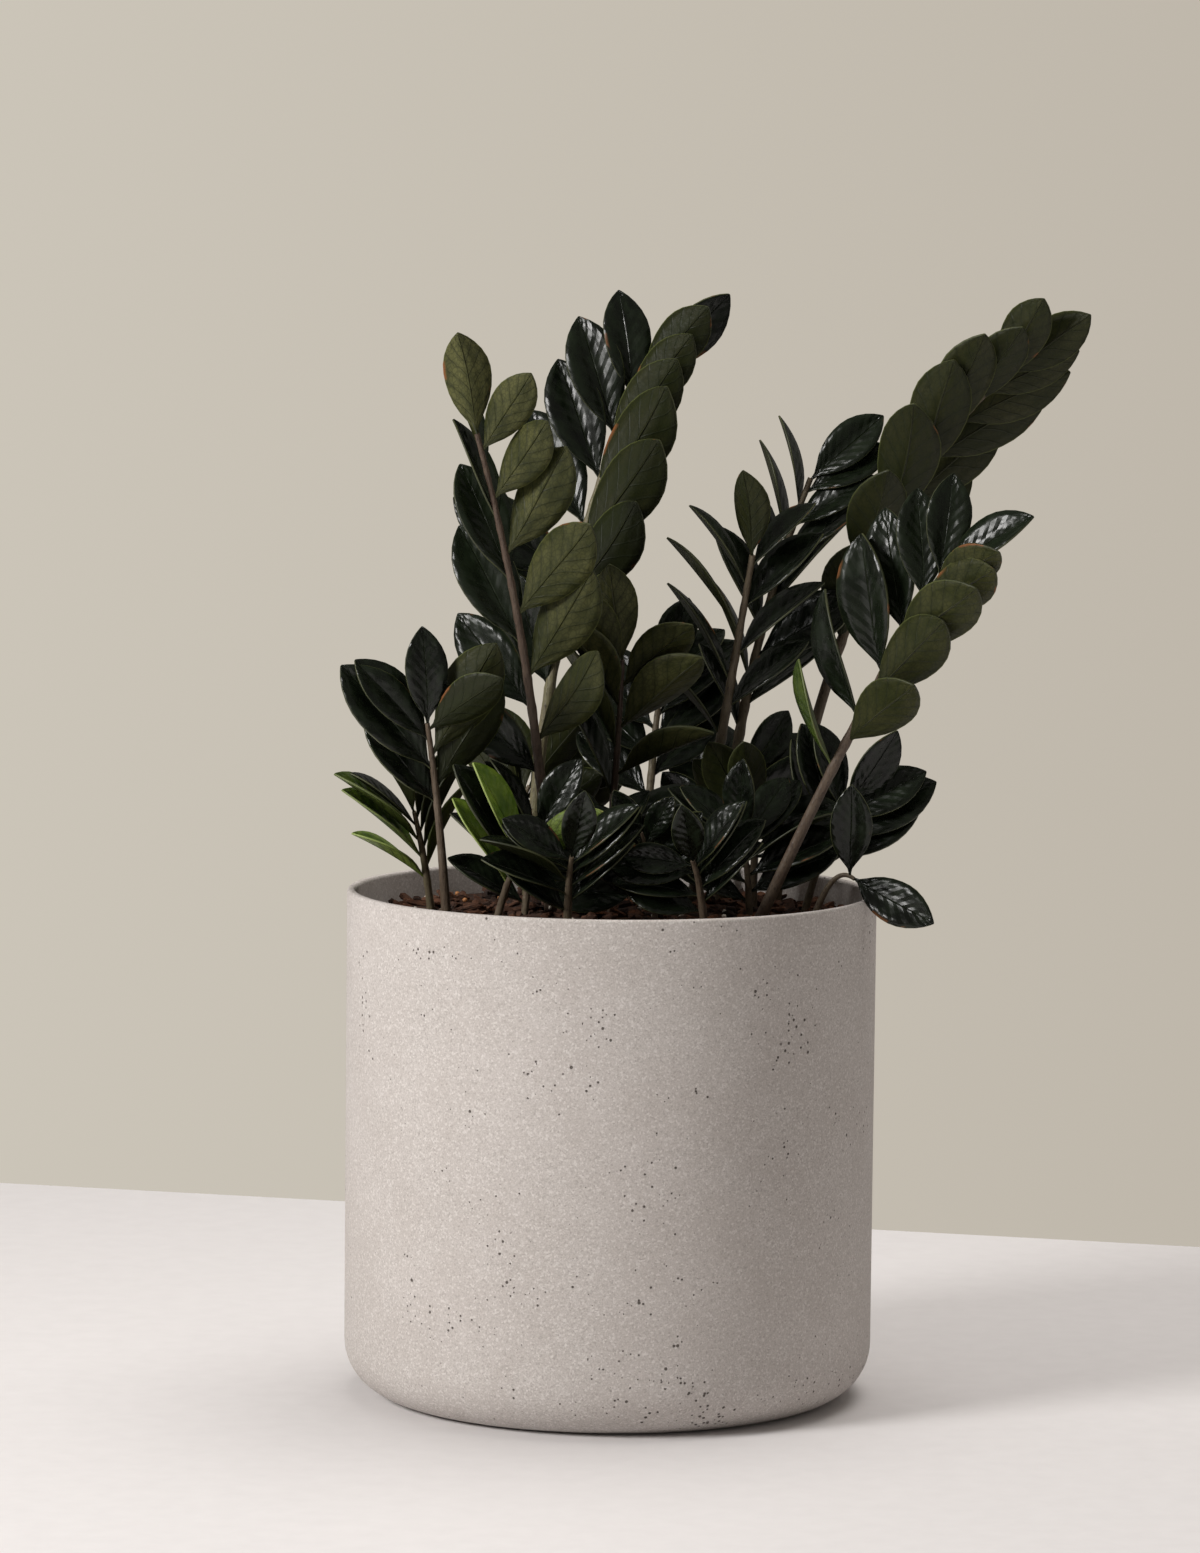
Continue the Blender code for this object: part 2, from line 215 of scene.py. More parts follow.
BOTTOM_CORNER = 0.033
INNER_CORNER = 0.0275   # the same corner, a wall's thickness further in
LIP_ROUNDING = 0.002
for height, radius, size, steps in ((0, RADIUS, BOTTOM_CORNER, 14),
                                    (FLOOR, RADIUS - WALL, INNER_CORNER, 10),
                                    (HEIGHT, RADIUS, LIP_ROUNDING, 4),
                                    (HEIGHT, RADIUS - WALL, LIP_ROUNDING, 4)):
    edges = choose(planter, "edges", ring_at(height, radius))
    bpy.ops.mesh.bevel(offset=size, segments=steps, affect="EDGES", clamp_overlap=False)
    print("bevelled", edges, "edges by", round(size * 1000, 1), "mm")
bpy.ops.object.mode_set(mode="OBJECT")
bpy.ops.object.shade_smooth_by_angle(angle=math.radians(35))
print("planter shell has", len(planter.data.polygons), "faces")

# %% [markdown]
# ## The planter's finish
# Cast stone is sand and cement: a warm grey body with grains lighter and darker than it,
# broad clouds where it dried unevenly, and small air holes that gather in groups, painted dark
# with the shade inside them. Each of these is one layer, and the grains and holes also go into the relief.

# %% Clouds, grains and air holes
def cells(tree, place, scale, feature="F1", out="Distance"):
    """A pattern of cells, smaller where the scale is higher."""
    sockets = {"Vector": place, "Scale": scale}
    return put(tree, "ShaderNodeTexVoronoi", sockets, feature=feature).outputs[out]


stone, tree, skin = new_finish("cast_stone", Roughness=0.88)
skin.inputs["Specular IOR Level"].default_value = 0.3
place = own_place(tree)
cloud = noise(tree, place, 9.0, 4.0)
patch = noise(tree, place, 30.0, 3.0)
grain = noise(tree, place, 1050.0, 2.0, 0.7)
sand = cells(tree, place, 900.0, out="Color")
sand = put(tree, "ShaderNodeSeparateColor", {0: sand}).outputs[0]


def pits(scale, widest):
    """Round holes in some of the cells: none where the group noise is low, wide where it is high."""
    cell = put(tree, "ShaderNodeTexVoronoi", {"Vector": place, "Scale": scale}).outputs
    chance = put(tree, "ShaderNodeSeparateColor", {0: cell["Color"]}).outputs[0]
    groups = noise(tree, place, 19.0, 4.0, 0.75)
    size = between(tree, sums(tree, "MULTIPLY", groups, chance), 0.42, 0.60, 0.0, widest)
    return between(tree, sums(tree, "SUBTRACT", size, cell["Distance"]), 0.0, 0.10)


hole_depth_and_shade = sums(tree, "MAXIMUM", pits(440.0, 0.46), pits(120.0, 0.15))
print("patterns of the stone take", len(tree.nodes), "nodes")

# %% Cast stone
grains = between(tree, grain, 0.32, 0.68)
body = mixed(tree, grains, (0.405, 0.369, 0.346, 1), (0.600, 0.561, 0.533, 1))
body = mixed(tree, between(tree, cloud, 0.35, 0.65, 0.0, 0.25), body, (0.60, 0.55, 0.525, 1))
body = mixed(tree, between(tree, patch, 0.40, 0.62, 0.0, 0.20), body, (0.42, 0.375, 0.345, 1))
body = mixed(tree, between(tree, sand, 0.80, 0.92, 0.0, 0.34), body, (0.80, 0.765, 0.74, 1))
body = mixed(tree, between(tree, sand, 0.14, 0.07, 0.0, 0.25), body, (0.25, 0.22, 0.20, 1))
# Painted shade: the air holes are painted dark brown-grey, as the shade that falls inside them.
body = mixed(tree, sums(tree, "MULTIPLY", hole_depth_and_shade, 0.9), body, (0.075, 0.062, 0.052, 1))
tree.links.new(body, skin.inputs["Base Color"])
height = sums(tree, "MULTIPLY", grain, 0.18)
height = sums(tree, "SUBTRACT", height, hole_depth_and_shade)
relief(tree, skin, height, 0.0008)
planter.data.materials.clear()
planter.data.materials.append(stone)
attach(planter, "root")
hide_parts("planter")
print("cast stone has", len(tree.nodes), "nodes")

# %% [markdown]
# ## The potting mix
# The mix is composted bark with a few pale grains of feed. Its body is a plug that fills
# the planter, heaped a little in the middle and roughened on top. Loose chips of bark lie
# on it, from a few chip shapes that are copied, turned and scattered.

# %% Mix body
mix_low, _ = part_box("potting_mix")
MIX_TOP = HEIGHT - 0.018                # at the wall
HEAP = 0.004                            # higher in the middle
GAP = 0.0003                            # from the planter's wall, so that the two don't overlap
MIX_CORNER = 0.0272                     # the planter's inner corner, less the gap
FILL = RADIUS - WALL - GAP


def mix_height(radius):
    """How high the mix's top is at this distance from the middle."""
    return MIX_TOP + HEAP * (1 - (radius / FILL) ** 2)


bpy.ops.mesh.primitive_cylinder_add(vertices=72, radius=FILL, depth=MIX_TOP - mix_low.z,
                                    end_fill_type="TRIFAN",
                                    location=(0, 0, (MIX_TOP + mix_low.z) / 2))
mix = only(bpy.context.object)
mix.name = "potting_mix_body"
bpy.ops.object.transform_apply(location=True)
bpy.ops.object.mode_set(mode="EDIT")
choose(mix, "edges", ring_at(mix_low.z, FILL))
bpy.ops.mesh.bevel(offset=MIX_CORNER, segments=8, affect="EDGES", clamp_overlap=False)
choose(mix, "faces", lambda f: f.normal.z > 0.9)
bpy.ops.mesh.subdivide(number_cuts=9)
choose(mix, "verts", lambda v: v.co.z > MIX_TOP - HAIR and v.co.xy.length < 0.001)
bpy.ops.transform.translate(value=(0, 0, HEAP), use_proportional_edit=True,
                            proportional_edit_falloff="SMOOTH", proportional_size=FILL)
bpy.ops.object.mode_set(mode="OBJECT")
print("mix reaches", round(mix_height(0) * 1000), "mm and has", len(mix.data.polygons), "faces")


# %% Crumbly top
def apply_all(obj):
    """Applies every modifier, from the first to the last."""
    only(obj)
    for modifier in list(obj.modifiers):
        bpy.ops.object.modifier_apply(modifier=modifier.name)


loose_top = mix.vertex_groups.new(name="loose_top")
loose_top.add([v.index for v in mix.data.vertices
               if v.co.z > MIX_TOP - HAIR and v.co.xy.length < FILL - 0.003], 1.0, "REPLACE")
crumbs = bpy.data.textures.new("crumbs", "CLOUDS")
crumbs.noise_scale = 0.009
crumbs.noise_depth = 2
lumps = mix.modifiers.new("lumps", "DISPLACE")
lumps.texture = crumbs
lumps.strength = 0.004
lumps.vertex_group = "loose_top"
lumps.texture_coords = "LOCAL"
apply_all(mix)
bpy.ops.object.shade_smooth_by_angle(angle=math.radians(45))
print("crumbs reach", round(max(v.co.z for v in mix.data.vertices) * 1000, 1), "mm")

# %% Chip and grain shapes
CHIPS = ((0.011, 0.006, 0.0028), (0.008, 0.006, 0.003), (0.014, 0.004, 0.0024), (0.006, 0.005, 0.0035))
chips = []
for n, (long, wide, thick) in enumerate(CHIPS):
    bpy.ops.mesh.primitive_cube_add(size=1)
    chip = only(bpy.context.object)
    chip.name = f"chip_{n}"
    chip.scale = (long, wide, thick)
    bpy.ops.object.transform_apply(scale=True)
    bpy.ops.object.mode_set(mode="EDIT")
    bpy.ops.mesh.select_all(action="SELECT")
    bpy.ops.mesh.bevel(offset=thick * 0.28, segments=1, affect="EDGES")
    bpy.ops.transform.vertex_random(offset=thick * 0.45, seed=n)
    bpy.ops.object.mode_set(mode="OBJECT")
    chips.append(chip)
bpy.ops.mesh.primitive_ico_sphere_add(subdivisions=1, radius=0.0014)
grain_shape = only(bpy.context.object)
grain_shape.name = "grain"
bpy.ops.object.mode_set(mode="EDIT")
bpy.ops.transform.vertex_random(offset=0.0003, seed=3)
bpy.ops.object.mode_set(mode="OBJECT")
print("shapes to scatter:", [shape.name for shape in (*chips, grain_shape)])

# %% [markdown]
# ## Copying and joining
# What repeats is made once. Each copy has its own mesh, so that it can keep its own numbers
# and be turned on its own, and the copies are then joined, with their places in the mesh.


# %% Copying and joining
def twin(obj, name):
    """A copy with a mesh of its own."""
    copy = obj.copy()
    copy.data = obj.data.copy()
    copy.name = name
    bpy.context.scene.collection.objects.link(copy)
    copy.hide_render = False
    copy.hide_viewport = False
    return copy


def joined(parts, name):
    """Makes one piece of the parts, with its place in its mesh and its origin at the planter's."""
    bpy.ops.object.select_all(action="DESELECT")
    for part in parts:
        part.select_set(True)
    bpy.context.view_layer.objects.active = parts[0]
    if len(parts) > 1:
        bpy.ops.object.join()
    whole = bpy.context.object
    bpy.ops.object.transform_apply(location=True, rotation=True, scale=True)
    whole.name = name
    whole.data.name = name
    return whole


print("faces of the chips to copy:", [len(chip.data.polygons) for chip in chips])


# %% Bark chips and feed grains
def scattered(shapes, count, rise, name):
    """Copies of the shapes, turned any way, all over the top of the mix."""
    copies = []
    for n in range(count):
        radius = (FILL - 0.009) * math.sqrt(random.random())
        angle = random.uniform(0, math.tau)
        copy = twin(shapes[n % len(shapes)], f"{name}_{n}")
        copy.location = (radius * math.cos(angle), radius * math.sin(angle),
                         mix_height(radius) + random.uniform(0, rise))
        copy.rotation_euler = (random.uniform(-0.5, 0.5), random.uniform(-0.5, 0.5),
                               random.uniform(0, math.tau))
        copy.scale = [random.uniform(0.75, 1.25)] * 3
        tint = copy.data.attributes.new("tint", "FLOAT", "POINT")
        tint.data.foreach_set("value", [random.random()] * len(copy.data.vertices))
        copies.append(copy)
    whole = joined(copies, name)
    for shape in shapes:
        bpy.data.objects.remove(shape)
    return whole


bark = scattered(chips, 620, 0.0030, "potting_mix_bark")
feed = scattered([grain_shape], 90, 0.0040, "potting_mix_feed_grains")
only(feed)
bpy.ops.object.shade_smooth()
print("bark chips:", len(bark.data.polygons), "faces; feed grains:", len(feed.data.polygons), "faces")

# %% [markdown]
# ## The finishes of the mix
# Wet bark is red-brown and fibrous, with painted shade in the mix's hollows. Every chip has
# a tint of its own, kept as a number on its corners, and the feed grains go from white to orange by it.


# %% Damp mix
def tint_of(tree, name="tint"):
    """The number of this name that a piece keeps on its corners."""
    return put(tree, "ShaderNodeAttribute", {}, attribute_name=name).outputs["Fac"]


soil, tree, skin = new_finish("damp_mix", Roughness=0.95)
place = own_place(tree)
coarse = noise(tree, place, 160.0, 5.0, 0.7)
fine = noise(tree, place, 900.0, 2.0)
lit = between(tree, coarse, 0.35, 0.68)
# Painted shade and light: the mix is painted near black where its relief is low and red-brown where it is
# high.
brown = mixed(tree, lit, (0.010, 0.006, 0.004, 1), (0.085, 0.036, 0.018, 1))
tree.links.new(brown, skin.inputs["Base Color"])
relief(tree, skin, sums(tree, "ADD", coarse, sums(tree, "MULTIPLY", fine, 0.3)), 0.003)
print("damp mix has", len(tree.nodes), "nodes")

# %% Bark and feed
wood, tree, skin = new_finish("bark_chip", Roughness=0.85)
place = own_place(tree, (1, 1, 2.5))
fibre = noise(tree, place, 420.0, 4.0, 0.7)
tint = tint_of(tree)
own_tint = between(tree, tint, 0.1, 1.0)
brown = mixed(tree, own_tint, (0.028, 0.012, 0.007, 1), (0.150, 0.058, 0.026, 1))
brown = mixed(tree, between(tree, fibre, 0.35, 0.65, 0.75, 0.0), brown, (0.012, 0.007, 0.005, 1))
tree.links.new(brown, skin.inputs["Base Color"])
relief(tree, skin, fibre, 0.0012)

pellet, tree, skin = new_finish("feed_grain", Roughness=0.55)
place = own_place(tree)
dusty = noise(tree, place, 1500.0, 2.0)
tint = tint_of(tree)
shell = mixed(tree, between(tree, tint, 0.55, 0.65), (0.62, 0.58, 0.50, 1), (0.50, 0.20, 0.06, 1))
shell = mixed(tree, between(tree, dusty, 0.4, 0.6, 0.0, 0.5), shell, (0.20, 0.13, 0.08, 1))
tree.links.new(shell, skin.inputs["Base Color"])
relief(tree, skin, dusty, 0.0003)

for piece, finish in ((mix, soil), (bark, wood), (feed, pellet)):
    piece.data.materials.clear()
    piece.data.materials.append(finish)
    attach(piece, "root")
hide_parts("potting_mix")
print("mix pieces:", mix.name, bark.name, feed.name)

# %% [markdown]
# ## One leaflet
# A leaflet is a pointed oval blade, widest past its middle, folded up along the midrib and
# arched down to its tip. A grid of few faces is enough: its columns are lifted into the
# fold, and each of its rows is then narrowed to the outline and moved down to the arch.
# A Solidify modifier gives it its millimetre of flesh, with slots of their own for the
# underside and for the pale margin.

# %% Leaflet shape
LENGTH = 0.069          # of the leaflet that is copied
HALF = LENGTH * 0.215
# share of the length, and share of half the width there
OUTLINE = ((0.0, 0.050), (0.04, 0.058), (0.09, 0.110), (0.16, 0.31), (0.24, 0.555), (0.33, 0.765),
           (0.43, 0.910), (0.53, 0.985), (0.62, 1.0), (0.71, 0.945), (0.80, 0.800), (0.88, 0.585),
           (0.94, 0.355), (0.98, 0.150), (1.0, 0.030))
FOLDS = (0.0, 0.155, 0.280, 0.375)      # rise of each column, from the midrib out


def arch(share, droop):
    """How high the midrib is at this share of the length."""
    return LENGTH * droop * (0.35 * share - share ** 2)


def blade_shape(name, droop, fold, wave, phase):
    """A sheet 2 wide and 2 long, lifted into the fold, then brought to size row by row."""
    bpy.ops.mesh.primitive_grid_add(x_subdivisions=6, y_subdivisions=14, size=2, location=(0, 2, 0))
    blade = only(bpy.context.object)
    blade.name = name
    bpy.ops.object.transform_apply(location=True)
    bpy.ops.object.mode_set(mode="EDIT")
    for column in range(1, 4):
        choose(blade, "verts", lambda v: abs(abs(v.co.x) - column / 3) < 0.01)
        bpy.ops.transform.translate(value=(0, 0, FOLDS[column] * fold))
    for row, (share, wide) in enumerate(OUTLINE):
        choose(blade, "verts", lambda v: abs(v.co.y - 1 - row / 7) < 0.01)
        bpy.ops.transform.resize(value=(HALF * wide, 1, HALF * wide), center_override=(0, 0, 0))
        sway = wave * HALF * math.sin(math.pi * share) * math.sin(phase + 3 * share)
        step = LENGTH * share - (1 + row / 7)
        bpy.ops.transform.translate(value=(sway, step, arch(share, droop)))
    bpy.ops.object.mode_set(mode="OBJECT")
    return blade


# %% Five blades that differ a little
HABITS = ((0.10, 1.0, 0.00, 0), (0.14, 0.7, 0.05, 10), (0.07, 1.2, -0.05, -9), (0.12, 1.1, 0.06, -14),
          (0.09, 0.8, -0.04, 13))       # droop, fold, wave and twist in degrees
FLESH = 0.0011
blades = []
for n, (droop, fold, wave, twist) in enumerate(HABITS):
    blade = blade_shape(f"blade_{n}", droop, fold, wave, n)
    turn = blade.modifiers.new("twist", "SIMPLE_DEFORM")
    turn.deform_method = "TWIST"
    turn.deform_axis = "Y"
    turn.angle = math.radians(twist)
    flesh = blade.modifiers.new("flesh", "SOLIDIFY")
    flesh.thickness = FLESH
    flesh.offset = 0.0
    flesh.use_even_offset = False
    flesh.material_offset = 1
    flesh.material_offset_rim = 2
    for _ in range(3):
        blade.data.materials.append(None)
    apply_all(blade)
    bpy.ops.object.shade_smooth()
    blades.append(blade)
    size = [round(side * 1000, 1) for side in blade.dimensions]
    print(blade.name, "has", len(blade.data.polygons), "faces and is", size, "mm")

# %% [markdown]
# ## Where the leaflets grow
# The frame's leaves are plain, but they say where each leaflet is. A leaflet there ends in
# a ring of four corners hardly a millimetre across, and the next two rings down are its
# 0.84 and 0.58 stations. From the tip, the middle and the edges of the 0.58 ring, the base,
# the direction, the upper side and the length of the leaflet follow.


# %% Corners and their neighbours
def net_of(node):
    """The corners of a frame leaf, merged, and for each the corners that it shares an edge with."""
    copy = only(twin(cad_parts[node], "measured"))
    bpy.ops.object.mode_set(mode="EDIT")
    bpy.ops.mesh.select_all(action="SELECT")
    bpy.ops.mesh.remove_doubles(threshold=0.00001)
    bpy.ops.object.mode_set(mode="OBJECT")
    points = [v.co.copy() for v in copy.data.vertices]
    near = [set() for _ in points]
    for edge in copy.data.edges:
        first, second = edge.vertices
        near[first].add(second)
        near[second].add(first)
    bpy.data.objects.remove(copy)
    return points, near


points, near = net_of("compound_leaf_01")
print("compound_leaf_01 has", len(points), "corners and", sum(len(n) for n in near) // 2, "edges")


# %% Rings at the tips
TIP = 0.00145           # a tip ring is never wider


def tip_rings(points, near):
    """The corners of each tip ring, with those of the second ring down from it."""
    tree = KDTree(len(points))
    for n, point in enumerate(points):
        tree.insert(point, n)
    tree.balance()
    rings = []
    for n, point in enumerate(points):
        tip = sorted(j for _, j, _ in tree.find_range(point, TIP))
        if len(tip) != 4 or n != tip[0]:
            continue
        if max((points[a] - points[b]).length for a, b in itertools.combinations(tip, 2)) > TIP:
            continue
        seen, ring = set(tip), set(tip)
        for _ in range(2):
            ring = set().union(*(near[j] for j in ring)) - seen
            seen |= ring
            if len(ring) != 4:
                break
        if len(ring) == 4:
            rings.append(([points[j] for j in tip], [points[j] for j in ring]))
    return rings


print("compound_leaf_01 has", len(tip_rings(points, near)), "tips")


# %% Measuring the frame's leaflets
STATION = 0.58          # of the second ring, as a share of the leaflet's length
REACH = 0.42            # from there to the tip, along the leaflet
DROP = 0.05166          # and down
SAG = 0.01334           # of that ring below the base


def middle_and_edges(ring):
    """The point on the midrib, the vector across and the vector to the upper side."""
    left, right = max(itertools.combinations(ring, 2), key=lambda pair: (pair[0] - pair[1]).length)
    rib = [p for p in ring if p is not left and p is not right]
    centre = (rib[0] + rib[1]) / 2
    return centre, left - right, (left + right) / 2 - centre


def measured(tip, ring):
    """The base, the direction, the upper side and the length of the leaflet with these rings."""
    end = middle_and_edges(tip)[0]
    centre, side, up = middle_and_edges(ring)
    reach = end - centre
    length = reach.length / math.hypot(REACH, DROP)
    along = reach.normalized()
    side = (side - along * side.dot(along)).normalized()
    upper = side.cross(along)
    if upper.dot(up) < 0:
        side, upper = -side, -upper
    lean = math.atan2(DROP, REACH)
    forward = along * math.cos(lean) + upper * math.sin(lean)
    upper = side.cross(forward)
    base = centre - forward * (STATION * length) + upper * (SAG * length)
    return base, forward, upper, length


def leaflets_of(node):
    """All the leaflets of a frame leaf, from the lowest base to the highest."""
    found = [measured(tip, ring) for tip, ring in tip_rings(*net_of(node))]
    return sorted(found, key=lambda leaflet: leaflet[0].z)


leaf_names = [name for name in sorted(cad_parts) if name.startswith("compound_leaf")]
fronds = {name: leaflets_of(name) for name in leaf_names}
for name, leaflets in fronds.items():
    print(name, "has", len(leaflets), "leaflets,", round(leaflets[-1][0].z * 1000), "mm up at most")
lengths = [leaflet[3] for leaflets in fronds.values() for leaflet in leaflets]
print(len(lengths), "leaflets, the longest", round(max(lengths) * 1000, 1), "mm")

# %% [markdown]
# ## The stalks
# A stalk is fleshy, round and thicker at its foot, and it swells a little where each leaflet
# joins. It could be extruded ring by ring. A Bezier curve with a round bevel is simpler to
# bend, and its points carry a radius: each curve is cut into many points, and the radius of
# those near a leaflet is raised. foot, bend and end are in metres, as in the frame, and the
# last number is the hue, from mauve-brown at 0 to pale green-tan at 1.

# %% Routes
ROUTES = {
    "compound_leaf_01": ((-0.036, 0.005), (-0.041, -0.015, 0.427), (-0.083, -0.045, 0.583), 1.00, 0.10),
    "compound_leaf_02": ((-0.008, 0.048), (0.002, 0.034, 0.357), (0.005, 0.016, 0.445), 0.85, 0.05),
    "compound_leaf_03": ((-0.052, 0.070), (-0.049, 0.080, 0.477), (0.018, 0.090, 0.619), 1.15, 0.85),
    "compound_leaf_04": ((0.075, -0.030), (0.148, -0.055, 0.433), (0.193, -0.095, 0.508), 1.05, 0.15),
    "compound_leaf_05": ((0.096, 0.085), (0.136, 0.090, 0.529), (0.238, 0.062, 0.619), 1.10, 0.30),
    "compound_leaf_06": ((0.044, 0.040), (0.066, 0.040, 0.395), (0.083, 0.020, 0.509), 1.15, 0.35),
    "compound_leaf_07": ((0.065, 0.070), (0.070, 0.080, 0.422), (0.120, 0.090, 0.553), 1.10, 0.40),
    "compound_leaf_08": ((-0.097, -0.035), (-0.102, -0.042, 0.352), (-0.111, -0.050, 0.411), 0.90, 0.20),
    "compound_leaf_09": ((0.113, -0.020), (0.128, -0.030, 0.333), (0.145, -0.040, 0.319), 0.70, 0.30),
    "compound_leaf_10": ((-0.074, -0.055), (-0.066, -0.062, 0.321), (-0.050, -0.075, 0.341), 0.80, 0.25),
    "compound_leaf_11": ((-0.107, 0.030), (-0.112, 0.020, 0.318), (-0.120, 0.000, 0.353), 0.80, 0.50),
    "compound_leaf_12": ((0.112, 0.040), (0.124, 0.030, 0.327), (0.142, 0.020, 0.359), 0.80, 0.40),
    "compound_leaf_13": ((0.086, 0.032), (0.086, 0.030, 0.327), (0.088, 0.020, 0.351), 0.85, 0.30),
    "compound_leaf_14": ((0.027, -0.034), (0.026, -0.042, 0.323), (0.017, -0.052, 0.347), 0.60, 0.20),
    "compound_leaf_15": ((-0.026, -0.075), (-0.027, -0.085, 0.319), (-0.024, -0.098, 0.337), 0.80, 0.30),
    "compound_leaf_16": ((0.057, -0.072), (0.054, -0.082, 0.319), (0.047, -0.094, 0.335), 0.80, 0.20),
    "compound_leaf_17": ((0.018, 0.095), (0.023, 0.110, 0.376), (0.030, 0.125, 0.425), 0.90, 0.50),
    "compound_leaf_18": ((-0.070, 0.105), (-0.066, 0.125, 0.332), (-0.052, 0.130, 0.357), 0.85, 0.40),
    "compound_leaf_19": ((0.066, 0.118), (0.072, 0.132, 0.337), (0.082, 0.142, 0.363), 0.85, 0.60),
    "compound_leaf_20": ((-0.054, -0.030), (-0.052, -0.032, 0.323), (-0.044, -0.036, 0.345), 0.70, 0.30),
    "compound_leaf_21": ((0.000, 0.008), (0.000, 0.004, 0.317), (-0.006, 0.000, 0.333), 0.70, 0.20),
    "compound_leaf_22": ((0.084, -0.008), (0.083, -0.012, 0.321), (0.078, -0.018, 0.343), 0.70, 0.30),
}
print("routes for", len(ROUTES), "stalks")


# %% Stalk shape
STALK = 0.0076          # across, at the foot of a stalk of thickness 1
DEPTH = 0.030           # of its foot in the mix
STEP = 0.0035           # between the points of its curve


def stalk_of(name):
    foot, bend, end, thick, hue = ROUTES[name]
    foot = Vector((*foot, mix_height(math.hypot(*foot)) - DEPTH))
    bend, end = Vector(bend), Vector(end)
    bpy.ops.curve.primitive_bezier_curve_add()
    line = only(bpy.context.object)
    start, stop = line.data.splines[0].bezier_points
    for point, place, before, after in ((start, foot, foot, foot.lerp(bend, 2 / 3)),
                                        (stop, end, end.lerp(bend, 2 / 3), end)):
        point.handle_left_type = point.handle_right_type = "FREE"
        point.co, point.handle_left, point.handle_right = place, before, after
    bpy.ops.object.mode_set(mode="EDIT")
    bpy.ops.curve.select_all(action="SELECT")
    bpy.ops.curve.subdivide(number_cuts=int((end - foot).length / STEP))
    bpy.ops.object.mode_set(mode="OBJECT")
    points = line.data.splines[0].bezier_points
    joints = [leaflet[0] for leaflet in fronds[name]]
    for n, point in enumerate(points):
        share = n / (len(points) - 1)
        swell = max(math.exp(-((point.co - joint).length / 0.0034) ** 2) for joint in joints)
        point.radius = thick * (1 - 0.62 * share) * (1 + 0.16 * swell)
    line.data.bevel_depth = STALK / 2
    line.data.bevel_resolution = 4
    line.data.resolution_u = 1
    line.data.use_fill_caps = True
    bpy.ops.object.convert(target="MESH")
    bpy.ops.object.mode_set(mode="EDIT")
    bpy.ops.mesh.select_all(action="SELECT")
    bpy.ops.mesh.remove_doubles(threshold=0.00001)
    bpy.ops.mesh.normals_make_consistent(inside=False)
    bpy.ops.object.mode_set(mode="OBJECT")
    stalk = joined([line], name + "_stalk")
    bpy.ops.object.shade_smooth_by_angle(angle=math.radians(60))
    value = stalk.data.attributes.new("tint", "FLOAT", "POINT")
    value.data.foreach_set("value", [hue] * len(stalk.data.vertices))
    return stalk


stalks = {name: stalk_of(name) for name in fronds}
print("stalks:", len(stalks), "with", sum(len(s.data.polygons) for s in stalks.values()), "faces")

# %% [markdown]
# ## The stalk's finish
# Stalks of this dark-leaved plant are mauve-brown, some of them pale green-tan, with fine
# streaks along them, darker freckles and a waxy shine.

# %% Stalk skin
stem, tree, skin = new_finish("stalk_skin", Roughness=0.42)
skin.inputs["Specular IOR Level"].default_value = 0.28
streak = noise(tree, own_place(tree, (1, 1, 0.12)), 700.0, 3.0, 0.6)
freckle = noise(tree, own_place(tree, (1, 1, 0.5)), 950.0, 2.0)
band = noise(tree, own_place(tree, (0.3, 0.3, 1)), 65.0, 2.0)
tint = tint_of(tree)
hue = mixed(tree, tint, (0.092, 0.058, 0.046, 1), (0.200, 0.185, 0.100, 1))
hue = mixed(tree, between(tree, streak, 0.35, 0.65, 0.0, 0.45), hue, (0.046, 0.030, 0.022, 1))
hue = mixed(tree, between(tree, band, 0.52, 0.66, 0.0, 0.40), hue, (0.160, 0.125, 0.088, 1))
hue = mixed(tree, between(tree, freckle, 0.60, 0.68, 0.0, 0.70), hue, (0.030, 0.020, 0.018, 1))
tree.links.new(hue, skin.inputs["Base Color"])
tree.links.new(between(tree, streak, 0.3, 0.7, 0.32, 0.55), skin.inputs["Roughness"])
relief(tree, skin, sums(tree, "ADD", streak, freckle), 0.0004)
for name, stalk in stalks.items():
    stalk.data.materials.clear()
    stalk.data.materials.append(stem)
    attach(stalk, "root")
    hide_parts(name)
print("stalk skin has", len(tree.nodes), "nodes")

# %% [markdown]
# ## The leaflets' finishes
# The upper side is almost black and as glossy as wet paint, and its side veins make it
# ripple, so a window's reflection breaks into slanting streaks. The underside is olive and
# satin, with darker veins and a fine net between them. Both read the blade's own map: u
# runs across it, v from its base to its tip. Three numbers on each leaflet vary it: shift
# moves the patterns, tone lightens or darkens, and youth turns it to fresh yellow-green.


# %% Veins
def blade_map(tree):
    """v, the distance from the midrib (0 to 1), and a place that differs for each leaflet."""
    where = put(tree, "ShaderNodeUVMap", {}, uv_map="UVMap").outputs[0]
    parts = put(tree, "ShaderNodeSeparateXYZ", {0: where}).outputs
    off = sums(tree, "ABSOLUTE", sums(tree, "SUBTRACT", sums(tree, "MULTIPLY", parts[0], 2.0), 1.0))
    shift = sums(tree, "MULTIPLY", tint_of(tree, "shift"), 9.0)
    wide = sums(tree, "MULTIPLY", parts[0], 0.5)
    own = put(tree, "ShaderNodeCombineXYZ", {0: wide, 1: parts[1], 2: shift}).outputs[0]
    return parts[1], off, own


def side_veins(tree, v, off, own, count):
    """0 on a side vein, rising to 0.5 half way to the next one. Veins slant to the tip."""
    drift = sums(tree, "MULTIPLY", noise(tree, own, 5.0, 2.0), 0.05)
    slant = sums(tree, "MULTIPLY", sums(tree, "POWER", off, 0.8), 0.20)
    phase = sums(tree, "ADD", sums(tree, "SUBTRACT", v, slant), drift)
    return sums(tree, "PINGPONG", sums(tree, "MULTIPLY", phase, count), 0.5)


